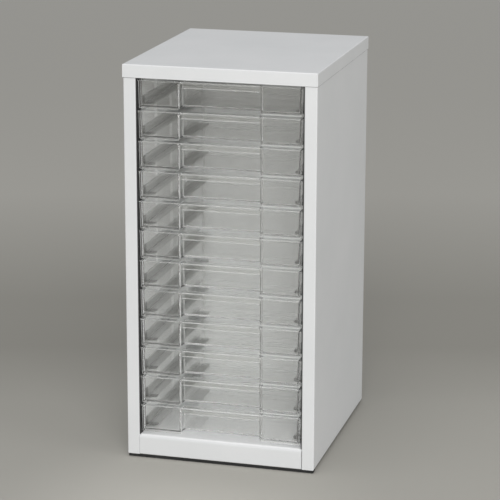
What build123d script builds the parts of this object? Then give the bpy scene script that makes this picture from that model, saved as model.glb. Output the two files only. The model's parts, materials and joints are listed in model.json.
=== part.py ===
from build123d import *
import os

# Tray cabinet: a folded steel case with a stack of clear moulded trays that slide out to the front.
# Millimetres. +Z up, the front faces -Y, +X is to the right of someone who looks at the front.
# The origin is the centre of the footprint, on the surface that the cabinet stands on.

# Case
case_width = 277.0
case_depth = 325.0
sheet = 0.8
bend_radius = 1.6
cover_height = 18.6
foot_height = 5.0
seam = 0.3

# Side panels
frame_width = 17.8
frame_return = 10.0
rear_flange = 12.0
floor_flange = 12.0

# Base pan with the plinth
plinth_height = 30.0
plinth_return = 46.0
plinth_radius = 5.0
pan_skirt = 14.0
back_lap = 12.0

# Trays: their stack sets the height of the case
tray_count = 12
tray_pitch = 42.9
tray_gap = 3.4
base_gap = 4.7
top_gap = 3.5
front_side_gap = 3.8
front_setback = 3.5
front_plate = 2.0
front_draft = 1.0
front_corner = 3.0
tray_side_gap = 7.1
tray_rear_gap = 14.0
tray_corner = 3.6
wall = 1.8
wall_draft = 1.0
floor_rise = 2.7
floor_bevel = 1.2
rim_width = 1.6
rim_height = 1.6
bead_depth = 2.8
bead_ear = 1.5
bead_bevel = 0.6

# Finger pull of each tray: an opening in the front under a lip, and the pocket behind it
grip_width = 111.0
grip_corner = 4.0
grip_foot_round = 5.0
lip_height = 8.8
pocket_width = 119.0
pocket_depth = 13.0
pocket_taper = 2.5
pocket_corner = 3.5

# Runners that carry the trays, and the liners that carry the runners
slide_gap = 0.3
runner_reach = 18.9
runner_plate = 1.5
runner_height = 12.6
runner_start = 22.0
strip_start = 1.5
strip_thickness = 1.4
runner_corner = 8.0
runner_rear_gap = 10.0
liner_start = 12.0
liner_return = 6.0
groove_width = 14.0
groove_depth = 3.0
groove_first = 74.0
groove_pitch = 73.0
groove_count = 3

# Feet and screws
foot_width = 18.0
foot_corner = 3.0
foot_side_inset = 34.0
foot_rear_inset = 24.0
foot_strip_depth = 10.0
foot_strip_inset = 2.0
foot_strip_end = 10.0
screw_radius = 2.0
screw_hole_gap = 0.2
screw_length = 6.0
screw_head_radius = 4.2
screw_head_height = 1.7
screw_rows = 2
screw_end_margin = 44.0

# Places that follow from the sizes above
y_front = -(case_depth + screw_head_height - sheet) / 2
y_frame = y_front + sheet
y_rear = y_front + case_depth
y_flange = y_rear - sheet
y_back = y_flange - sheet
y_inside = y_back - sheet
tray_height = tray_pitch - tray_gap
z_base = foot_height
z_shelf = z_base + plinth_height
z_lintel = z_shelf + base_gap + tray_count * tray_pitch - tray_gap + top_gap
z_cover = z_lintel + cover_height
x_panel = case_width / 2 - sheet
x_inner = x_panel - sheet
x_opening = x_panel - frame_width
y_tray = y_frame + front_setback
front_half = x_opening - front_side_gap
tub_width = 2 * (x_opening - tray_side_gap)
tray_length = y_inside - tray_rear_gap - y_tray
floor_top = floor_rise + wall
grip_top = tray_height - lip_height
pocket_top = tray_height - rim_height


def block(x, y, z):
    """A box between two values on each axis."""
    size = (x[1] - x[0], y[1] - y[0], z[1] - z[0])
    return Pos(sum(x) / 2, sum(y) / 2, sum(z) / 2) * Box(*size)


def on_left(shape):
    """The left-hand copy of a right-hand piece."""
    return mirror(shape, about=Plane.YZ)


def upright_edges(shape, x, y=None):
    """Edges along Z that stand at x, and at y where it is given."""
    found = shape.edges().filter_by(Axis.Z).filter_by(lambda e: abs(e.center().X - x) < sheet / 2)
    return found if y is None else found.filter_by(lambda e: abs(e.center().Y - y) < sheet / 2)


def folded_strip(points, inside_radii):
    """Cross-section of a folded sheet: points on its middle line, with an inside radius per bend."""
    last = len(points) - 1
    runs = [(Vector(*b) - Vector(*a)).normalized() for a, b in zip(points, points[1:])]
    faces = ([], [])
    radii = ([], [])
    for i, point in enumerate(points):
        before, after = runs[max(i - 1, 0)], runs[min(i, last - 1)]
        normals = Vector(-before.Y, before.X), Vector(-after.Y, after.X)
        mitre = (normals[0] + normals[1]) / (1 + normals[0].dot(normals[1])) * sheet / 2
        faces[0].append(Vector(*point) + mitre)
        faces[1].append(Vector(*point) - mitre)
        if 0 < i < last:
            inside = inside_radii[i - 1]
            outside = inside + sheet if inside else 0
            turns_left = before.cross(after).Z > 0
            radii[0].append(inside if turns_left else outside)
            radii[1].append(outside if turns_left else inside)
    left = FilletPolyline(*faces[0], radius=radii[0])
    right = FilletPolyline(*faces[1], radius=radii[1])
    ends = [Line(left @ 0, right @ 0), Line(left @ 1, right @ 1)]
    return make_face(left.edges() + right.edges() + ends)


def across(section, half_width):
    """A cross-section drawn in depth and height, extruded over the width."""
    return extrude(Pos(-half_width, 0, 0) * (Plane.YZ * section), amount=2 * half_width, dir=(1, 0, 0))


def z_tray(number):
    """Height of the lower edge of a tray's front. Tray 1 is the top one."""
    return z_shelf + base_gap + (tray_count - number) * tray_pitch


def screw_heights():
    """Heights of the screws up each rear flange."""
    low, high = z_shelf + screw_end_margin, z_lintel - screw_end_margin
    return [low + (high - low) * i / (screw_rows - 1) for i in range(screw_rows)]


def back_screw_holes(side):
    """Clearance through the rear flange and the back panel."""
    drill = Cylinder(screw_radius + screw_hole_gap, screw_length * 2, rotation=(90, 0, 0))
    return [Pos(side * (x_panel - rear_flange / 2), y_back, z) * drill for z in screw_heights()]


def side_panel():
    """Right side panel: wall, front frame flange with its return, rear flange and floor flange."""
    y, z = (y_frame, y_flange), (z_base, z_cover - sheet)
    shape = block((x_opening, x_panel), y, z)
    bends = upright_edges(shape, x_panel) + upright_edges(shape, x_opening, y_frame)
    bends += shape.edges().filter_by(Axis.Y).group_by(Axis.Z)[0].sort_by(Axis.X)[-1:]
    shape = fillet(bends, bend_radius)
    inside_y, inside_z = (y_frame + sheet, y_back), (z_base + sheet, z_cover)
    shape -= block((x_opening + sheet, x_inner), inside_y, inside_z)
    behind = (y_frame + frame_return, y_rear)
    shape -= block((x_opening, x_panel - rear_flange), (behind[0], y_rear), inside_z)
    shape -= block((x_opening, x_panel - floor_flange), behind, (z_base, z_base + sheet))
    for hole in back_screw_holes(1):
        shape -= hole
    return shape


def top_cover():
    """Cap: a flat top with a skirt down all four sides."""
    x, y = (-case_width / 2, case_width / 2), (y_front, y_rear)
    shape = block(x, y, (z_lintel, z_cover))
    shape = fillet(shape.edges().group_by(Axis.Z)[-1], bend_radius)
    return shape - block((-x_panel, x_panel), (y_frame, y_flange), (z_lintel, z_cover - sheet))


def front_rail():
    """Channel across the top of the opening, behind the cover's front skirt."""
    y0, y1 = y_frame + sheet / 2, y_frame + frame_return
    z0, z1 = z_lintel + sheet / 2, z_cover - sheet * 3 / 2
    path = [(y1, z0), (y0, z0), (y0, z1), (y1, z1)]
    return across(folded_strip(path, [bend_radius - sheet] * 2), x_opening)


def back_panel():
    """Flat sheet inside the rear flanges, lapped over the base pan."""
    shape = block((-x_inner, x_inner), (y_inside, y_back), (z_base + back_lap, z_cover - sheet))
    for hole in back_screw_holes(1) + back_screw_holes(-1):
        shape -= hole
    return shape


def base_pan():
    """Plinth, shelf and rear wall in one folded sheet, with turned-down wings to the side panels."""
    y0, y1 = y_frame + sheet / 2, y_inside - sheet / 2
    z0, z1 = z_base + sheet / 2, z_shelf - sheet / 2
    path = [(y0 + plinth_return, z0), (y0, z0), (y0, z1), (y1, z1), (y1, z0), (y1 - plinth_return, z0)]
    low, high = bend_radius - sheet, plinth_radius - sheet
    shape = across(folded_strip(path, [low, high, high, low]), x_opening - seam)
    wing_y = (y_frame + frame_return + seam, y_inside - plinth_radius)
    wing = block((x_opening - frame_return, x_inner), wing_y, (z_shelf - sheet, z_shelf))
    wing += block((x_inner - sheet, x_inner), wing_y, (z_shelf - pan_skirt, z_shelf))
    shape += [wing, on_left(wing)]
    return shape


def liner():
    """Right liner: an inner wall with its edges turned out and upright grooves pressed in."""
    web = x_opening + sheet / 2
    edge = x_opening + liner_return
    y0 = y_frame + liner_start + sheet / 2
    y1 = y_inside - sheet / 2
    path = [(edge, y0), (web, y0)]
    for i in range(groove_count):
        middle = y0 + groove_first + i * groove_pitch
        mouth = groove_width / 2
        bed = mouth - groove_depth
        path += [(web, middle - mouth), (web + groove_depth, middle - bed)]
        path += [(web + groove_depth, middle + bed), (web, middle + mouth)]
    path += [(web, y1), (edge, y1)]
    edge_bend = bend_radius - sheet
    radii = [edge_bend] + [0] * (4 * groove_count) + [edge_bend]
    section = Pos(0, 0, z_shelf) * folded_strip(path, radii)
    return extrude(section, amount=z_cover - sheet - z_shelf, dir=(0, 0, 1))


def runner():
    """Right runner: an angle. Its ledge carries the tray and has a rounded front corner."""
    x0, x1 = x_opening - runner_reach, x_opening
    y0, y1 = y_frame + runner_start, y_tray + tray_length - runner_rear_gap
    ledge = block((x0, x1), (y0, y1), (0, runner_plate))
    ledge = fillet(upright_edges(ledge, x0, y0), runner_corner)
    return ledge + block((x1 - runner_plate, x1), (y0, y1), (0, runner_height))


def front_strip():
    """Right dark strip inside the opening, from the front frame to the ends of the runners."""
    x, y = (x_opening - strip_thickness, x_opening), (y_frame + strip_start, y_frame + runner_start)
    return block(x, y, (z_shelf, z_lintel))


def tray_front():
    """Front plate with drafted sides, rounded lower corners, the grip opening and a top bead."""
    foot_half = front_half - front_draft
    grip_half = grip_width / 2
    face = make_face(Polyline(
        (-foot_half, 0), (-grip_half, 0), (-grip_half, grip_top), (grip_half, grip_top),
        (grip_half, 0), (foot_half, 0), (front_half, tray_height), (-front_half, tray_height),
        close=True,
    ))
    middle = face.vertices().group_by(Axis.Y)[1]
    face = fillet(middle, grip_corner)
    low = face.vertices().group_by(Axis.Y)[0].sort_by(lambda v: abs(v.center().X))
    face = fillet(low[:2], grip_foot_round)
    low = face.vertices().group_by(Axis.Y)[0].sort_by(lambda v: abs(v.center().X))
    face = fillet(low[-2:], front_corner)
    plate = extrude(Plane.XZ * face, amount=-front_plate)
    bead_half = front_half + bead_ear
    bead = block((-bead_half, bead_half), (0, bead_depth), (tray_height - rim_height, tray_height))
    return plate + chamfer(bead.edges().filter_by(Axis.X).group_by(Axis.Y)[0], bead_bevel)


def rear_bevelled(half_width, rear, corner):
    """Plan of a tray level: square at the front, where the plate closes it, bevelled at the rear."""
    outline = Pos(0, rear / 2) * Rectangle(2 * half_width, rear)
    return chamfer(outline.vertices().group_by(Axis.Y)[-1], corner)


def tub(inset, bottom, bevel=0):
    """The tray's own box, inset by a wall, open to the front plate. It widens upwards."""
    start = bottom + bevel
    rise = tray_height - start
    inset += rise * tan_of(wall_draft)
    plan = Pos(0, 0, start) * rear_bevelled(tub_width / 2 - inset, tray_length - inset, tray_corner)
    shape = extrude(plan, amount=rise, dir=(0, 0, 1), taper=-wall_draft)
    if bevel:
        shape += extrude(plan, amount=bevel, dir=(0, 0, -1), taper=45)
    width = (-front_half, front_half)
    return shape & block(width, (front_plate, tray_length), (bottom, tray_height))


def tan_of(degrees):
    """Rise of a slope."""
    corner = Vector(1, 0).rotate(Axis.Z, degrees)
    return corner.Y / corner.X


def tray_rim():
    """Rim turned out round the side and rear walls."""
    half, rear = tub_width / 2 + rim_width, tray_length + rim_width
    plan = rear_bevelled(half, rear, tray_corner + rim_width)
    return extrude(Pos(0, 0, tray_height - rim_height) * plan, amount=rim_height, dir=(0, 0, 1))


def pocket(growth, bottom, top):
    """Space behind the grip opening, grown by a wall for the walls that stand round it."""
    front_edge = pocket_width / 2 + growth
    rear_edge = front_edge - pocket_taper
    rear = pocket_depth + growth
    plan = make_face(Polyline(
        (-front_edge, front_plate), (front_edge, front_plate), (rear_edge, rear), (-rear_edge, rear),
        close=True,
    ))
    return extrude(Pos(0, 0, bottom) * plan, amount=top - bottom, dir=(0, 0, 1))


def tray():
    """One tray, with its front face at y 0 and the lower edge of its front at z 0."""
    outside = tub(0, floor_rise, floor_bevel)
    hollow = tub(wall, floor_top) - pocket(wall, 0, tray_height)
    void = pocket(0, 0, pocket_top)
    roof_edges = void.edges().group_by(Axis.Z)[-1].filter_by(lambda e: abs(e.center().X) > 1)
    void = fillet(roof_edges, pocket_corner)
    return outside + tray_rim() + tray_front() - hollow - void


def front_foot():
    """Rubber strip glued along the front edge of the base pan, just behind the plinth's face."""
    half = x_panel - foot_strip_end
    y0 = y_frame + foot_strip_inset
    return block((-half, half), (y0, y0 + foot_strip_depth), (0, foot_height))


def rear_foot():
    """Right rear foot: a low square rubber pad with bevelled corners, glued under the base pan."""
    half = foot_width / 2
    pad = block((-half, half), (-half, half), (0, foot_height))
    pad = chamfer(pad.edges().filter_by(Axis.Z), foot_corner)
    return Pos(x_panel - foot_side_inset, y_inside - foot_rear_inset, 0) * pad


def screw():
    """Hexagon head screw along +Z: the head's seat is at z 0 and the head below it."""
    shank = Cylinder(screw_radius, screw_length, align=(Align.CENTER, Align.CENTER, Align.MIN))
    hexagon = RegularPolygon(screw_head_radius, 6)
    return shank + extrude(hexagon, amount=screw_head_height, dir=(0, 0, -1))


def back_screws():
    """Screws through the rear flanges, heads outside."""
    piece = screw()
    x = x_panel - rear_flange / 2
    places = [Pos(side * x, y_flange, z) * Rot(90, 0, 0) for side in (-1, 1) for z in screw_heights()]
    return Compound([place * piece for place in places])


def build():
    """All nodes by name."""
    right_panel, right_liner, right_strip = side_panel(), liner(), front_strip()
    right_runner, right_foot, one_tray = runner(), rear_foot(), tray()
    nodes = {
        "side_panel_right": right_panel,
        "side_panel_left": on_left(right_panel),
        "top_cover": top_cover(),
        "front_rail": front_rail(),
        "back_panel": back_panel(),
        "base_pan": base_pan(),
        "liner_right": right_liner,
        "liner_left": on_left(right_liner),
        "front_strip_right": right_strip,
        "front_strip_left": on_left(right_strip),
        "back_screws": back_screws(),
        "foot_front": front_foot(),
        "foot_rear_right": right_foot,
        "foot_rear_left": on_left(right_foot),
    }
    runner_rise = floor_rise - slide_gap - runner_plate
    for number in range(1, tray_count + 1):
        z = z_tray(number)
        placed = Pos(0, 0, z + runner_rise) * right_runner
        nodes[f"runner_right_{number:02}"] = placed
        nodes[f"runner_left_{number:02}"] = on_left(placed)
        nodes[f"tray_{number:02}"] = Pos(0, y_tray, z) * one_tray
    return nodes


os.makedirs("parts", exist_ok=True)
for node_name, node in build().items():
    export_step(node, f"parts/{node_name}.step")
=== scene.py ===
import bmesh
import bpy
import json
import math
from mathutils import Matrix, Vector


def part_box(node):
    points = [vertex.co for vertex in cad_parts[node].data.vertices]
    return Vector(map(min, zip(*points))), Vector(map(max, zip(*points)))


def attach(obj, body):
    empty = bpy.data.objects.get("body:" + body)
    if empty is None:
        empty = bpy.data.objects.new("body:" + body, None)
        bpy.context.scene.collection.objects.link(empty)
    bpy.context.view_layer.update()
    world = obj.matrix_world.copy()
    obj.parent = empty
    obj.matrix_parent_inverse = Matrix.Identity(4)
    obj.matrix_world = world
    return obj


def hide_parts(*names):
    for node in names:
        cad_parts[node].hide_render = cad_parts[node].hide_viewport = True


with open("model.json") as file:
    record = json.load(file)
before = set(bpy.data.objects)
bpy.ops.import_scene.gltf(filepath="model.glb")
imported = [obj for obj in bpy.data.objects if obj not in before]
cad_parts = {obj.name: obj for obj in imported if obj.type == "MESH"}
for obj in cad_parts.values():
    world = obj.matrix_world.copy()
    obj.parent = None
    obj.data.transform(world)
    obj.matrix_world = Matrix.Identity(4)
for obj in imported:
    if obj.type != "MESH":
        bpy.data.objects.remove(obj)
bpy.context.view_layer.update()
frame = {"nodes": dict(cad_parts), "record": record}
nodes = frame["nodes"]
scene = bpy.context.scene
mm = 0.001


def add_object(name, data):
    """A new object in the scene."""
    item = bpy.data.objects.new(name, data)
    scene.collection.objects.link(item)
    return item


def mesh_object(name, bm, materials=()):
    """A new object from a finished bmesh, which is used up."""
    mesh = bpy.data.meshes.new(name)
    for material in materials:
        mesh.materials.append(material)
    bm.to_mesh(mesh)
    bm.free()
    return add_object(name, mesh)


# Materials

class Graph:
    """A material's node tree, with short calls to add and join nodes."""

    def __init__(self, name):
        self.material = bpy.data.materials.new(name)
        self.material.use_nodes = True
        self.tree = self.material.node_tree
        self.tree.nodes.clear()

    def add(self, kind, links=(), **values):
        """A new node. Each value is a property of the node or else the default of an input."""
        node = self.tree.nodes.new(kind)
        for key, value in values.items():
            if hasattr(node, key):
                setattr(node, key, value)
            else:
                node.inputs[key.replace("_", " ")].default_value = value
        for socket, source in dict(links).items():
            self.tree.links.new(source, node.inputs[socket])
        return node

    def place(self):
        """The point in the object's own coordinates."""
        return self.add("ShaderNodeTexCoord").outputs["Object"]

    def noise(self, scale, detail):
        """Noise with its scale in cells per metre."""
        node = self.add("ShaderNodeTexNoise", {"Vector": self.place()}, Scale=scale, Detail=detail)
        return node.outputs["Fac"]

    def remap(self, source, low, high, start=0.3, end=0.7, **values):
        """Maps start..end to low..high. Without them it takes the middle of a noise."""
        return self.add("ShaderNodeMapRange", {"Value": source}, From_Min=start, From_Max=end,
                        To_Min=low, To_Max=high, **values).outputs[0]

    def ramp(self, source, stops):
        """Colours from stops, each a position and a colour."""
        node = self.add("ShaderNodeValToRGB", {"Fac": source})
        elements = node.color_ramp.elements
        while len(elements) < len(stops):
            elements.new(0.5)
        for element, (position, colour) in zip(elements, stops):
            element.position = position
            element.color = (*colour, 1)
        return node.outputs[0]

    def bump(self, scale, detail, distance):
        """Normal of a noisy surface."""
        return self.add("ShaderNodeBump", {"Height": self.noise(scale, detail)},
                        Distance=distance, Strength=1.0).outputs[0]

    def scaled(self, colour, factor):
        node = self.add("ShaderNodeVectorMath", {0: colour, "Scale": factor}, operation="SCALE")
        return node.outputs[0]

    def finish(self, shader):
        """The material with this shader as its surface."""
        self.add("ShaderNodeOutputMaterial", {"Surface": shader.outputs[0]})
        return self.material


def coated(name, low, high, roughness, peel=0.00004, painted_light_tone=None, **values):
    """Powder-coated steel: a faint cloudy tone, orange-peel bump and uneven gloss.

    A painted light tone takes the graph, the cloudy noise and the colour, and gives a changed
    colour; it paints light or shade into the coat.
    """
    g = Graph(name)
    cloud = g.noise(9, 3)
    colour = g.ramp(cloud, [(0.3, low), (0.7, high)])
    if painted_light_tone:
        colour = painted_light_tone(g, cloud, colour)
    return g.finish(g.add("ShaderNodeBsdfPrincipled", {
        "Base Color": colour,
        "Roughness": g.remap(g.noise(26, 4), roughness - 0.03, roughness + 0.04),
        "Normal": g.bump(900, 3, peel),
    }, **values))


def painted_top_light(g, cloud, colour):
    """Painted light: a lighter tone on the faces that look up, as if more light fell on them."""
    light = g.ramp(cloud, [(0, (0.93, 0.935, 0.935)), (1, (0.96, 0.96, 0.96))])
    normal = g.add("ShaderNodeNewGeometry").outputs["True Normal"]
    upward = g.add("ShaderNodeSeparateXYZ", {"Vector": normal}).outputs["Z"]
    first_colour, second_colour, result = 6, 7, 2
    return g.add("ShaderNodeMix", {
        "Factor": g.remap(upward, 0, 1, 0.6, 0.95),
        first_colour: colour,
        second_colour: light,
    }, data_type="RGBA").outputs[result]


def painted_front_shade(end):
    """Painted shade: a tone that is nearly black up to a station along y."""
    def painted_light_tone(g, cloud, colour):
        along = g.add("ShaderNodeSeparateXYZ", {"Vector": g.place()}).outputs["Y"]
        return g.scaled(colour, g.remap(along, 0.03, 1, end, end + 1 * mm))
    return painted_light_tone


def moulded_clear(name, transmission, low, high, roughness):
    """Clear polystyrene. Light that only passes through on its way to a surface goes straight."""
    g = Graph(name)
    glass = g.add("ShaderNodeBsdfPrincipled", {
        "Base Color": g.ramp(g.noise(14, 2), [(0.3, low), (0.7, high)]),
        "Roughness": g.remap(g.noise(40, 3), roughness, roughness + 0.015),
        "Normal": g.bump(30, 1, 0.000012),
    }, Transmission_Weight=transmission, IOR=1.59)
    straight = g.add("ShaderNodeBsdfTransparent", Color=(0.996, 0.997, 0.996, 1))
    rays = g.add("ShaderNodeLightPath").outputs
    either = g.add("ShaderNodeMath", {0: rays["Is Shadow Ray"], 1: rays["Is Diffuse Ray"]},
                   operation="MAXIMUM")
    return g.finish(g.add("ShaderNodeMixShader", {
        0: either.outputs[0], 1: glass.outputs[0], 2: straight.outputs[0],
    }))


light_grey = (0.70, 0.71, 0.715), (0.735, 0.74, 0.745)
# The runners' front ends are painted nearly black with shade, up to 11 mm along y from their start.
runner_start = min(vertex.co.y for vertex in nodes["runner_left_01"].data.vertices)
runner_painted_shade_end = 11 * mm

paint = coated("light_grey_powder_coat", *light_grey, 0.42)
# Base pan: the case's grey paint with painted light, lighter on the faces that look up.
pan_paint_with_painted_top_light = coated("light_grey_pan_coat_painted_top_light", *light_grey, 0.42, painted_light_tone=painted_top_light)
# Painted light: the liners and the back panel get lighter copies of the case's grey paint, to stand
# in for light inside the case; the liners much lighter, the back a little.
liner_paint_painted_light = coated("light_grey_liner_coat_painted_light", (0.86, 0.865, 0.865), (0.90, 0.90, 0.90), 0.45)
back_paint_painted_light = coated("light_grey_back_coat_painted_light", (0.72, 0.725, 0.725), (0.76, 0.76, 0.76), 0.45)
# Runner coat: a darker grey than the case, with painted shade at the front end.
runner_paint_with_painted_shade = coated("runner_grey_coat_painted_front_shade", (0.40, 0.405, 0.40), (0.46, 0.46, 0.455), 0.45,
                      painted_light_tone=painted_front_shade(runner_start + runner_painted_shade_end))
rubber = coated("black_rubber", (0.018, 0.018, 0.018), (0.03, 0.03, 0.03), 0.75, peel=0.0001)
zinc = coated("zinc_plate", (0.55, 0.55, 0.54), (0.68, 0.68, 0.66), 0.3, Metallic=1.0)
# Near-black coat: the finish of the black_trim parts, and painted shadow on the line under the
# cover.
black_and_painted_shadow = coated("black_coat_and_painted_shadow", (0.025, 0.025, 0.025), (0.04, 0.04, 0.04), 0.6)
clear_plastic = moulded_clear(
    "clear_polystyrene", 1.0, (0.988, 0.99, 0.985), (0.997, 0.997, 0.994), 0.004)
# Edge finishes with painted light: milky edges stand in for highlights, and a dark tint stands in
# for shade.
highlight_edge = moulded_clear(
    "polystyrene_painted_highlight_edge", 0.7, (0.88, 0.89, 0.88), (0.94, 0.95, 0.94), 0.08)
faint_highlight_edge = moulded_clear(
    "polystyrene_faint_painted_highlight_edge", 0.88, (0.95, 0.955, 0.945), (0.98, 0.98, 0.975), 0.02)
shaded_edge = moulded_clear(
    "polystyrene_painted_shade_edge", 0.92, (0.42, 0.43, 0.42), (0.50, 0.51, 0.50), 0.02)

# A tray's flat faces have slot 0, clear. Its rounded and narrow faces have one of the other slots:
# a painted highlight, partly milky white; a fainter painted highlight; or painted shade, a dark
# tint.
tray_finishes = (clear_plastic, highlight_edge, faint_highlight_edge, shaded_edge)
highlight_slot, faint_highlight_slot, shaded_slot = 1, 2, 3

finishes = {"painted_steel": paint, "runner_steel": runner_paint_with_painted_shade, "foot_rubber": rubber,
            "screw_steel": zinc, "black_trim": black_and_painted_shadow, "clear_plastic": clear_plastic}
# Parts inside the case and the base pan take copies of the paint with painted light.
painted_light_finishes = {"liner_left": liner_paint_painted_light, "liner_right": liner_paint_painted_light,
                "back_panel": back_paint_painted_light, "base_pan": pan_paint_with_painted_top_light}
for part in frame["record"]["subparts"]:
    name = part["node"]
    materials = nodes[name].data.materials
    materials.clear()
    materials.append(painted_light_finishes.get(name, finishes[part["material_slot"]]))


# Mesh helpers, in millimetres

narrow_face, small_cap = 1.9, 20


def add_rings(bm, rings):
    """Vertices of rings of points."""
    return [[bm.verts.new([c * mm for c in point]) for point in ring] for ring in rings]


def skin(bm, lower, upper):
    """Faces between two rings of equal length."""
    count = len(lower)
    return [bm.faces.new((lower[i], lower[(i + 1) % count], upper[(i + 1) % count], upper[i]))
            for i in range(count)]


def mesh_of(name, rings, edge_slot=highlight_slot):
    """A closed mesh through rings, with a cap at both ends. Narrow faces get the edge slot."""
    bm = bmesh.new()
    rows = add_rings(bm, rings)
    for lower, upper in zip(rows, rows[1:]):
        for face in skin(bm, lower, upper):
            sides = [edge.calc_length() / mm for edge in face.edges]
            if min(sides[0] + sides[2], sides[1] + sides[3]) / 2 < narrow_face:
                face.material_index = edge_slot
    for cap in (rows[0][::-1], rows[-1]):
        face = bm.faces.new(cap)
        if face.calc_area() / mm ** 2 < small_cap:
            face.material_index = edge_slot
    bmesh.ops.recalc_face_normals(bm, faces=bm.faces)
    return mesh_object(name, bm, tray_finishes)


def arc(x, y, radius, start, end, steps=6):
    """Points along an arc. Angles are in degrees."""
    angles = [math.radians(start + (end - start) * i / steps) for i in range(steps + 1)]
    return [(x + radius * math.cos(a), y + radius * math.sin(a)) for a in angles]


def rounded_box(x_ends, y_ends, radius, steps):
    """Counter-clockwise outline of a rectangle with rounded corners."""
    left, right = x_ends[0] + radius, x_ends[1] - radius
    low, high = y_ends[0] + radius, y_ends[1] - radius
    return [*arc(right, low, radius, 270, 360, steps), *arc(right, high, radius, 0, 90, steps),
            *arc(left, high, radius, 90, 180, steps), *arc(left, low, radius, 180, 270, steps)]


def inset(outline, amount):
    """A counter-clockwise outline moved inwards."""
    moved = []
    for i, point in enumerate(outline):
        before = (Vector(point) - Vector(outline[i - 1])).normalized()
        after = (Vector(outline[(i + 1) % len(outline)]) - Vector(point)).normalized()
        normals = Vector((-before.y, before.x)), Vector((-after.y, after.x))
        mitre = (normals[0] + normals[1]) / (1 + normals[0].dot(normals[1]))
        moved.append(tuple(Vector(point) + mitre * amount))
    return moved


def quarter(radius, steps=4):
    """Inset and advance of each step of a rounded edge, from the end face to the side."""
    if not radius:
        return [(0, 0)]
    angles = [math.pi / 2 * i / steps for i in range(steps + 1)]
    return [(radius * (1 - math.sin(a)), radius * (1 - math.cos(a))) for a in angles]


def along_x(a, b, station):
    return station, a, b


def along_y(a, b, station):
    return a, station, b


def prism(name, outline, start, end, rounding, place):
    """A solid along one axis with rounded ends. The outline may be a function of the station."""
    outline_at = outline if callable(outline) else lambda station: outline
    stations = [(start + ahead, amount) for amount, ahead in quarter(rounding[0])]
    stations += [(end - ahead, amount) for amount, ahead in quarter(rounding[1])[::-1]]
    return mesh_of(name, [[place(a, b, station) for a, b in inset(outline_at(station), amount)]
                          for station, amount in stations])


def combine(first, second, operation):
    """Boolean of two closed meshes. The second is used up."""
    modifier = first.modifiers.new("combine", "BOOLEAN")
    modifier.operation = operation
    modifier.object = second
    modifier.solver = "EXACT"
    graph = bpy.context.evaluated_depsgraph_get()
    result = bpy.data.meshes.new_from_object(first.evaluated_get(graph))
    first.modifiers.clear()
    first.data = result
    bpy.data.objects.remove(second)
    return first


# Trays, in millimetres: z is up from the underside of the front, and y runs back from its face

tray_height = 39.5
front_half, bead_half, tub_half = 116.9, 118.1, 115.0
plate, wall, rim = 2.0, 1.8, 1.6
draft = math.tan(math.radians(1))
floor_rise, floor_top = 2.7, 4.5
tub_corner, edge_round = 5.0, 0.5
grip_half, grip_top, grip_round = 58.6, 30.7, 4.0
pocket_half, pocket_depth, pocket_taper = 59.5, 13.0, 2.5
tray_low, tray_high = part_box("tray_01")
tray_length = (tray_high.y - tray_low.y) / mm - rim

past = 1.0   # how far a cutting solid reaches past what it cuts
hair = 0.01  # keeps the faces of joined solids from falling together


def tub_ring(offset, z, front, front_corner=1.0):
    """Rounded outline of the tub, grown by an offset from the outside of its wall at the top."""
    half, rear, rear_corner = tub_half + offset, tray_length + offset, tub_corner + offset
    points = arc(half - rear_corner, rear - rear_corner, rear_corner, 0, 90)
    points += arc(rear_corner - half, rear - rear_corner, rear_corner, 90, 180)
    points += arc(front_corner - half, front + front_corner, front_corner, 180, 270)
    points += arc(half - front_corner, front + front_corner, front_corner, 270, 360)
    return [(x, y, z) for x, y in points]


def tub():
    """Walls, floor and rim in one closed shell, whose front lies in the front plate."""
    outside, inside, inside_corner = 1.0, 2.2, 1.5
    under_round, floor_round, cove = 0.9, 1.0, 0.5
    top = tray_height - hair
    neck = top - rim - cove

    def drafted(z):
        return -(tray_height - z) * draft

    rings = []
    for amount, ahead in quarter(under_round):
        z = floor_rise + ahead
        rings.append(tub_ring(drafted(z) - amount, z, outside))
    rings.append(tub_ring(drafted(neck), neck, outside))
    rings.append(tub_ring(drafted(neck) + 0.3 * cove, neck + 0.7 * cove, outside))
    rings.append(tub_ring(cove, top - rim - 2 * hair, outside))
    for amount, ahead in quarter(edge_round):
        rings.append(tub_ring(rim - amount, top - rim + ahead, outside))
    for amount, ahead in quarter(edge_round)[::-1]:
        rings.append(tub_ring(rim - amount, top - ahead, outside))
    for amount, ahead in quarter(edge_round):
        rings.append(tub_ring(amount - wall, top - ahead, inside))
    for amount, ahead in quarter(floor_round)[::-1]:
        z = floor_top + ahead
        rings.append(tub_ring(drafted(z) - wall - amount, z, inside + amount, inside_corner))
    return mesh_of("tray_tub", rings, faint_highlight_slot)


def grip_outline(half, top, radius, bottom):
    """An upright rectangle about the middle, with its upper corners rounded."""
    points = [(-half, bottom), (half, bottom)]
    points += arc(half - radius, top - radius, radius, 0, 90)
    points += arc(radius - half, top - radius, radius, 90, 180)
    return points


def pocket(name, growth, top, bottom, start, rounding, radius):
    """The space behind the grip opening, or the wall round it when it is grown."""
    def outline_at(y):
        half = pocket_half + growth - pocket_taper * min(max(y / pocket_depth, 0), 1)
        return grip_outline(half, top, radius, bottom)
    piece = prism(name, outline_at, start, pocket_depth + growth, (0, rounding), along_y)
    for polygon in piece.data.polygons:
        if polygon.material_index:
            polygon.material_index = faint_highlight_slot
    return piece


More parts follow.
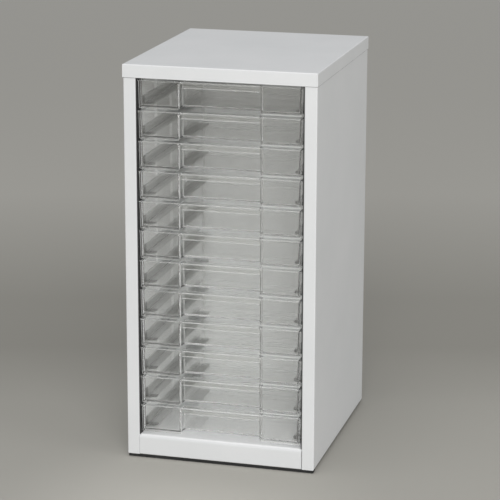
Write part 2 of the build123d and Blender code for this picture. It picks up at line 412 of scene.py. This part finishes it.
def front_plate():
    """Front plate with drafted sides, rounded lower corners and the grip opening."""
    front_draft, foot_round, grip_foot = 0.8, 1.8, 2.0
    foot_x, top = front_half - front_draft - foot_round, tray_height - edge_round
    side = arc(grip_half + grip_foot, grip_foot, grip_foot, 180, 270)
    side += arc(foot_x, foot_round, foot_round, 270, 360)
    outline = side + [(front_half, top), (-front_half, top)]
    outline += [(-x, z) for x, z in side[::-1]]
    outline += arc(grip_round - grip_half, grip_top - grip_round, grip_round, 180, 90)
    outline += arc(grip_half - grip_round, grip_top - grip_round, grip_round, 90, 0)
    return prism("tray_plate", outline, 0, plate, (edge_round, edge_round), along_y)


def lip_recess():
    """A shallow step in the lip over the grip, as wide as the opening."""
    below_bead, depth, inner_round = 0.9, 0.7, 0.3
    top = tray_height - rim - below_bead
    outline = grip_outline(grip_half, top, grip_round, grip_top - past)
    return prism("lip_recess", outline, -past, depth, (0, inner_round), along_y)


def painted_edge_highlights(piece):
    """Painted highlights on the edges, fainter ones where they face away from the light."""
    right_side = 50 * mm
    for polygon in piece.data.polygons:
        away = polygon.center.x > right_side and polygon.normal.z > -0.5
        polygon.material_index = faint_highlight_slot if away else highlight_slot
    return piece


def grip_rim():
    """Rim round the sides and top of the grip and its lip."""
    outward, inward, width, foot = 0.6, 0.7, 1.6, 3.5
    outer_round, inner_round, soft = 4.5, 3.0, 0.3
    near, far, space_far = 0.03, 2.5, 4.0
    top = tray_height - 0.3
    outer = grip_outline(grip_half + outward, top, outer_round, foot)
    inner = grip_outline(grip_half - inward, top - width, inner_round, -past)
    solid = painted_edge_highlights(prism("grip_rim", outer, near, far, (soft, soft), along_y))
    space = painted_edge_highlights(prism("grip_rim_space", inner, -past, space_far, (0, 0), along_y))
    return combine(solid, space, "DIFFERENCE")


def lip_edge():
    """Thicker lower edge of the lip."""
    depth, height, radius, half = (0.72, 2.4), 1.1, 0.35, grip_half - grip_round
    outline = rounded_box(depth, (grip_top, grip_top + height), radius, 3)
    return painted_edge_highlights(prism("lip_edge", outline, -half, half, (0, 0), along_x))


def bead():
    """Bead along the top edge of the front."""
    depth, radius = (0, 2.8), 0.6
    outline = rounded_box(depth, (tray_height - rim, tray_height), radius, 4)
    return prism("tray_bead", outline, -bead_half, bead_half, (edge_round, edge_round), along_x)


def tray_shell():
    """A whole tray in one closed mesh."""
    shell = combine(tub(), pocket(
        "tray_pocket", growth=wall, top=tray_height - 2 * hair, bottom=floor_rise + 0.8,
        start=1.5, rounding=2.0, radius=2.5), "UNION")
    shell = combine(shell, pocket(
        "tray_space", growth=0, top=tray_height - rim - 5 * hair, bottom=-past,
        start=-past, rounding=1.2, radius=3.5), "DIFFERENCE")
    shell = combine(shell, front_plate(), "UNION")
    shell = combine(shell, lip_recess(), "DIFFERENCE")
    for piece in (grip_rim(), lip_edge(), bead()):
        shell = combine(shell, piece, "UNION")
    return shell


def mark_edges(mesh):
    """Slots of the front's narrow faces, after cutting the mesh where a slot ends.

    The foot of the plate gets a painted highlight, a fainter one left of the grip; the floor's
    front and the ends of the bead get the fainter one too. The right side of the grip gets painted
    shade, a dark tint.
    """
    foot_band, floor_band, lip_band = 1.3, 14.0, 4.0
    front_depth, margin, touch = 3.0, 3.0, 0.1
    bm = bmesh.new()
    bm.from_mesh(mesh)
    cuts = [((0, 0, foot_band), (0, 0, 1)), ((-grip_half, 0, 0), (1, 0, 0)),
            ((grip_half - margin, 0, 0), (1, 0, 0)), ((0, floor_band, 0), (0, 1, 0))]
    for point, normal in cuts:
        bmesh.ops.bisect_plane(bm, geom=bm.verts[:] + bm.edges[:] + bm.faces[:],
                               plane_co=[c * mm for c in point], plane_no=normal)
    for face in bm.faces:
        x, y, z = (c / mm for c in face.calc_center_median())
        by_grip = abs(x - grip_half) < margin and z < grip_top + lip_band
        on_bead_end = abs(x) > grip_half - margin and z > tray_height - rim - touch
        under_floor = y < floor_band and z < floor_top + touch and face.normal.z < -0.9
        if z < foot_band:
            face.material_index = faint_highlight_slot if x < -grip_half else highlight_slot
        elif face.material_index and by_grip and y < front_depth:
            face.material_index = shaded_slot
        elif under_floor or (on_bead_end and y < front_depth):
            face.material_index = faint_highlight_slot
    bm.to_mesh(mesh)
    bm.free()


def shade(mesh, sharp=50):
    """Flat faces stay optically flat, and the rounded edges between them blend into each other."""
    around = {}
    for polygon in mesh.polygons:
        polygon.use_smooth = True
        for vertex in polygon.vertices:
            around.setdefault(vertex, []).append(polygon)
    limit = math.cos(math.radians(sharp))
    normals = []
    for polygon in mesh.polygons:
        for vertex in polygon.vertices:
            normal = polygon.normal
            if polygon.material_index:
                near = [p for p in around[vertex] if p.normal.dot(normal) > limit]
                flat = [p for p in near if not p.material_index]
                if flat:
                    normal = max(flat, key=lambda p: p.normal.dot(polygon.normal)).normal
                else:
                    normal = sum((p.normal for p in near), Vector()).normalized()
            normals.append(tuple(normal))
    mesh.normals_split_custom_set(normals)


first = tray_shell()
mark_edges(first.data)
shade(first.data)
for number in range(1, 13):
    node = f"tray_{number:02}"
    low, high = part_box(node)
    piece = first if number == 1 else add_object(node + "_moulding", first.data)
    piece.name = node + "_moulding"
    piece.location = (0, low.y, low.z)
    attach(piece, node)
    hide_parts(node)


# Trim on the case, in millimetres

def finish_piece(piece, finish):
    """One finish for all of a piece of the cabinet."""
    piece.data.materials.clear()
    piece.data.materials.append(finish)
    for polygon in piece.data.polygons:
        polygon.material_index = 0
    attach(piece, "cabinet")


def front_foot_strip():
    """Rubber strip under the front edge, with rounded lower edges, nearly as wide as the case."""
    low, high = (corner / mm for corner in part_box("foot_front"))
    half, radius, end_round, steps = 136.6, 0.8, 0.3, 3
    outline = [*arc(high.y - radius, low.z + radius, radius, 270, 360, steps), (high.y, high.z),
               (low.y, high.z), *arc(low.y + radius, low.z + radius, radius, 180, 270, steps)]
    piece = prism("foot_front_strip", outline, -half, half, (end_round, end_round), along_x)
    finish_piece(piece, rubber)
    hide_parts("foot_front")


def cover_shadow_line():
    """Painted shadow under the cover's skirt: a closed black band where the shade of the gap falls,
    taller on sides and rear.
    """
    low, high = (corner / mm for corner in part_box("top_cover"))
    outer, inner, front_drop, side_drop, turn = 0.45, 1.0, 0.5, 0.6, 1.0
    rings = []
    for inward, dropped in ((outer, False), (outer, True), (inner, True), (inner, False)):
        x0, x1, y0, y1 = low.x + inward, high.x - inward, low.y + inward, high.y - inward
        front = [(x0, y0), (x1, y0)]
        others = [(x1, y0 + turn), (x1, y1), (x0, y1), (x0, y0 + turn)]
        rings.append([(x, y, low.z - dropped * front_drop) for x, y in front]
                     + [(x, y, low.z - dropped * side_drop) for x, y in others])
    bm = bmesh.new()
    rows = add_rings(bm, rings)
    for upper, lower in zip(rows, rows[1:] + rows[:1]):
        skin(bm, upper, lower)
    bmesh.ops.recalc_face_normals(bm, faces=bm.faces)
    finish_piece(mesh_object("cover_shadow_line", bm), black_and_painted_shadow)


front_foot_strip()
cover_shadow_line()


# Floor: a wide plain surface with painted light and shade, whose tone changes along the line of
# sight and is darkest a little behind the cabinet, as light falls on a paper sweep

def grey(shade, tint):
    """Linear colour of an sRGB shade from 0 to 255, with a small tint on each channel."""
    def linear(value):
        value /= 255
        return value / 12.92 if value <= 0.04045 else ((value + 0.055) / 1.055) ** 2.4
    return tuple(linear(shade + t) for t in tint)


def floor_with_painted_light():
    """Floor paper with a painted pool of light in front of the cabinet, and painted light and shade
    along the line of sight.
    """
    sight, tint, lit_level = (-0.2569, 0.9664, 0), (2, 0, -6), 0.78
    near, far = -1.5, 6.0
    # Painted light and shade along the line of sight: metres from the origin, and sRGB shade.
    painted_shades = [(-1.5, 157), (-0.3, 151), (-0.1, 149), (0.12, 146), (0.4, 132), (0.69, 135),
              (1.05, 149), (1.5, 164), (2.6, 170), (4.5, 182)]
    painted_pool_middle, painted_pool_radius, painted_pool_gain = (0, -0.33, 0), 0.31, 1.37

    g = Graph("floor_painted_light_and_shade")
    place = g.place()
    along = g.add("ShaderNodeVectorMath", {0: place}, operation="DOT_PRODUCT")
    along.inputs[1].default_value = sight
    colour = g.ramp(g.remap(along.outputs["Value"], 0, 1, near, far), [
        ((distance - near) / (far - near), [c / lit_level for c in grey(shade, tint)])
        for distance, shade in painted_shades])
    away = g.add("ShaderNodeVectorMath", {0: place}, operation="DISTANCE")
    away.inputs[1].default_value = painted_pool_middle
    painted_pool = g.remap(away.outputs["Value"], painted_pool_gain, 1, 0, painted_pool_radius,
                   interpolation_type="SMOOTHSTEP")
    return g.finish(g.add("ShaderNodeBsdfPrincipled", {
        "Base Color": g.scaled(colour, painted_pool),
        "Normal": g.bump(400, 3, 0.0001),
    }, Roughness=0.9, Specular_IOR_Level=0.15))


disc = bmesh.new()
bmesh.ops.create_circle(disc, cap_ends=True, segments=96, radius=60)
mesh_object("floor", disc, [floor_with_painted_light()])


# World and lights

world = bpy.data.worlds.new("studio")
scene.world = world
world.use_nodes = True
background = world.node_tree.nodes["Background"]
background.inputs["Color"].default_value = (0.98, 0.99, 1.0, 1)
background.inputs["Strength"].default_value = 0.42


def area(name, direction, distance, size, watts, mirrored=True):
    """A square lamp that looks at the cabinet's middle and isn't seen itself."""
    data = bpy.data.lights.new(name, "AREA")
    data.shape = "SQUARE"
    data.size = size
    data.energy = watts
    lamp = add_object(name, data)
    middle = Vector((0, 0, 0.28))
    toward = Vector(direction).normalized()
    lamp.location = middle + toward * distance
    lamp.rotation_mode = "QUATERNION"
    lamp.rotation_quaternion = toward.to_track_quat("Z", "Y")
    lamp.visible_camera = False
    lamp.visible_glossy = mirrored
    lamp.visible_transmission = mirrored


area("key", (0.30, -0.74, 0.60), distance=4.5, size=2.0, watts=46)
area("front", (0.18, -0.96, 0.20), distance=4.5, size=2.4, watts=81, mirrored=False)
area("top", (-0.1, -0.16, 1.0), distance=4.0, size=1.8, watts=29)
area("side", (0.95, -0.25, 0.22), distance=4.5, size=2.4, watts=33)


# Camera at the photograph's viewing angle

camera_data = bpy.data.cameras.new("camera")
camera_data.sensor_width = 36
camera_data.lens = 151.83
camera_data.clip_end = 200
camera = add_object("camera", camera_data)
ahead = Vector((-0.25111, 0.93271, -0.25884)).normalized()
right = Vector((0.96547, 0.2605, 0.00205))
right = (right - ahead * right.dot(ahead)).normalized()
turn = Matrix((right, right.cross(ahead), -ahead)).transposed()
camera.location = (0.7771, -2.8847, 1.0767)
camera.rotation_mode = "QUATERNION"
camera.rotation_quaternion = turn.to_quaternion()
scene.camera = camera

scene.view_settings.view_transform = "Standard"
scene.cycles.max_bounces = 64
scene.cycles.transmission_bounces = 48
scene.cycles.transparent_max_bounces = 64
scene.cycles.glossy_bounces = 40
scene.cycles.diffuse_bounces = 4
scene.cycles.caustics_refractive = False
scene.cycles.caustics_reflective = False
